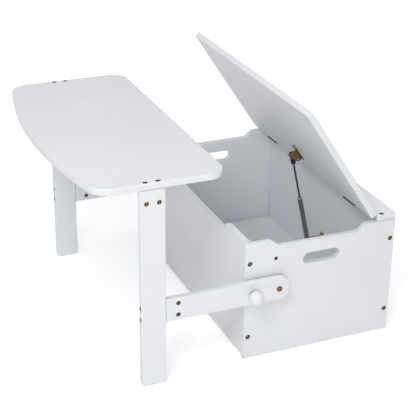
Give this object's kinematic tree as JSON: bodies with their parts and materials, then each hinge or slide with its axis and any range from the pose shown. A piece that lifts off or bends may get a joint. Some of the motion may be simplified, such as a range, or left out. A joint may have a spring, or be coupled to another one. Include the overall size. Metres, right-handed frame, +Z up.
{
  "type": "monks bench",
  "caption": "Child's white chest bench with a hinged seat lid on a stay; a bow-fronted table top on legs and pivoting arms folds over to become the backrest.",
  "frame": {"origin": "on the floor, below the middle of the part's bounding box", "axes": "+X along the bench to its right end seen from the table side, +Y from the table to the back of the chest, +Z up"},
  "size_m": [0.735, 0.75, 0.5687],
  "materials": {
    "paint": "satin white paint on wood board",
    "bronze": "antique bronze plated fittings",
    "stay_brass": "dull brass plated steel",
    "stay_steel": "polished steel rod",
    "stay_grey": "dark grey painted steel tube",
    "knob": "white moulded ball knob"
  },
  "bodies": {
    "box": {"side_panel_right": "paint", "side_panel_left": "paint", "front_panel": "paint", "back_panel": "paint", "bottom_board": "paint", "rear_top_board": "paint", "side_bolt_right_front_low": "bronze", "side_bolt_right_front_high": "bronze", "side_bolt_right_rear_low": "bronze", "side_bolt_right_rear_high": "bronze", "side_bolt_left_front_low": "bronze", "side_bolt_left_front_high": "bronze", "side_bolt_left_rear_low": "bronze", "side_bolt_left_rear_high": "bronze", "rear_board_bolt_right": "bronze", "rear_board_bolt_left": "bronze", "hinge_box_leaf_right": "bronze", "hinge_box_leaf_left": "bronze", "stay_lower_bracket": "stay_brass"},
    "lid": {"lid_board": "paint", "hinge_lid_leaf_right": "bronze", "hinge_lid_leaf_left": "bronze", "stay_upper_bracket": "stay_brass"},
    "stay_rod": {"stay_rod": "stay_steel"},
    "stay_cylinder": {"stay_cylinder": "stay_grey"},
    "pivot_bolts": {"pivot_bolt_right": "bronze", "pivot_bolt_left": "bronze"},
    "pivot_spacers": {"pivot_spacer_right": "bronze", "pivot_spacer_left": "bronze"},
    "table": {"table_top": "paint", "leg_right": "paint", "leg_left": "paint", "arm_right": "paint", "arm_left": "paint", "table_bolt_right_front": "bronze", "table_bolt_right_rear": "bronze", "table_bolt_left_front": "bronze", "table_bolt_left_rear": "bronze", "leg_nut_right_front": "bronze", "leg_nut_right_rear": "bronze", "leg_nut_left_front": "bronze", "leg_nut_left_rear": "bronze", "arm_bolt_right_low": "bronze", "arm_bolt_right_high": "bronze", "arm_bolt_left_low": "bronze", "arm_bolt_left_high": "bronze", "arm_nut_right_low": "bronze", "arm_nut_right_high": "bronze", "arm_nut_left_low": "bronze", "arm_nut_left_high": "bronze"},
    "lock_knob_right": {"lock_knob_right": "knob", "lock_stud_right": "bronze"},
    "lock_knob_left": {"lock_knob_left": "knob", "lock_stud_left": "bronze"}
  },
  "joints": [
    {"name": "lid_hinge", "type": "hinge", "parent": "box", "child": "lid", "pos_m": [0, 0.3275, 0.301], "axis": [-1, 0, 0], "range_deg": [-56.5, 0]},
    {"name": "stay_upper_pivot", "type": "hinge", "parent": "lid", "child": "stay_rod", "pos_m": [0, 0.26679, 0.33601], "axis": [-1, 0, 0], "range_deg": [0, 50]},
    {"name": "stay_slide", "type": "slide", "parent": "stay_rod", "child": "stay_cylinder", "axis": [0, -0.2213, 0.9752], "range_m": [0, 0.062]},
    {"name": "bolts_swing", "type": "hinge", "parent": "box", "child": "pivot_bolts", "pos_m": [0, 0.0775, 0.177], "axis": [-1, 0, 0], "range_deg": [0, 30]},
    {"name": "spacers_swing", "type": "hinge", "parent": "pivot_bolts", "child": "pivot_spacers", "pos_m": [0, 0.0775, 0.177], "axis": [-1, 0, 0], "range_deg": [0, 30]},
    {"name": "arms_swing", "type": "hinge", "parent": "pivot_spacers", "child": "table", "pos_m": [0, 0.0775, 0.177], "axis": [-1, 0, 0], "range_deg": [0, 30]},
    {"name": "lock_slide_right", "type": "slide", "parent": "table", "child": "lock_knob_right", "axis": [-1, 0, 0], "range_m": [0, 0.0077]},
    {"name": "lock_slide_left", "type": "slide", "parent": "table", "child": "lock_knob_left", "axis": [1, 0, 0], "range_m": [0, 0.0077]}
  ],
  "couplings": [
    {"joint": "stay_upper_pivot", "follows": "lid_hinge", "ratio": -0.88338},
    {"joint": "stay_slide", "follows": "lid_hinge", "m_per_rad": -0.062863}
  ]
}
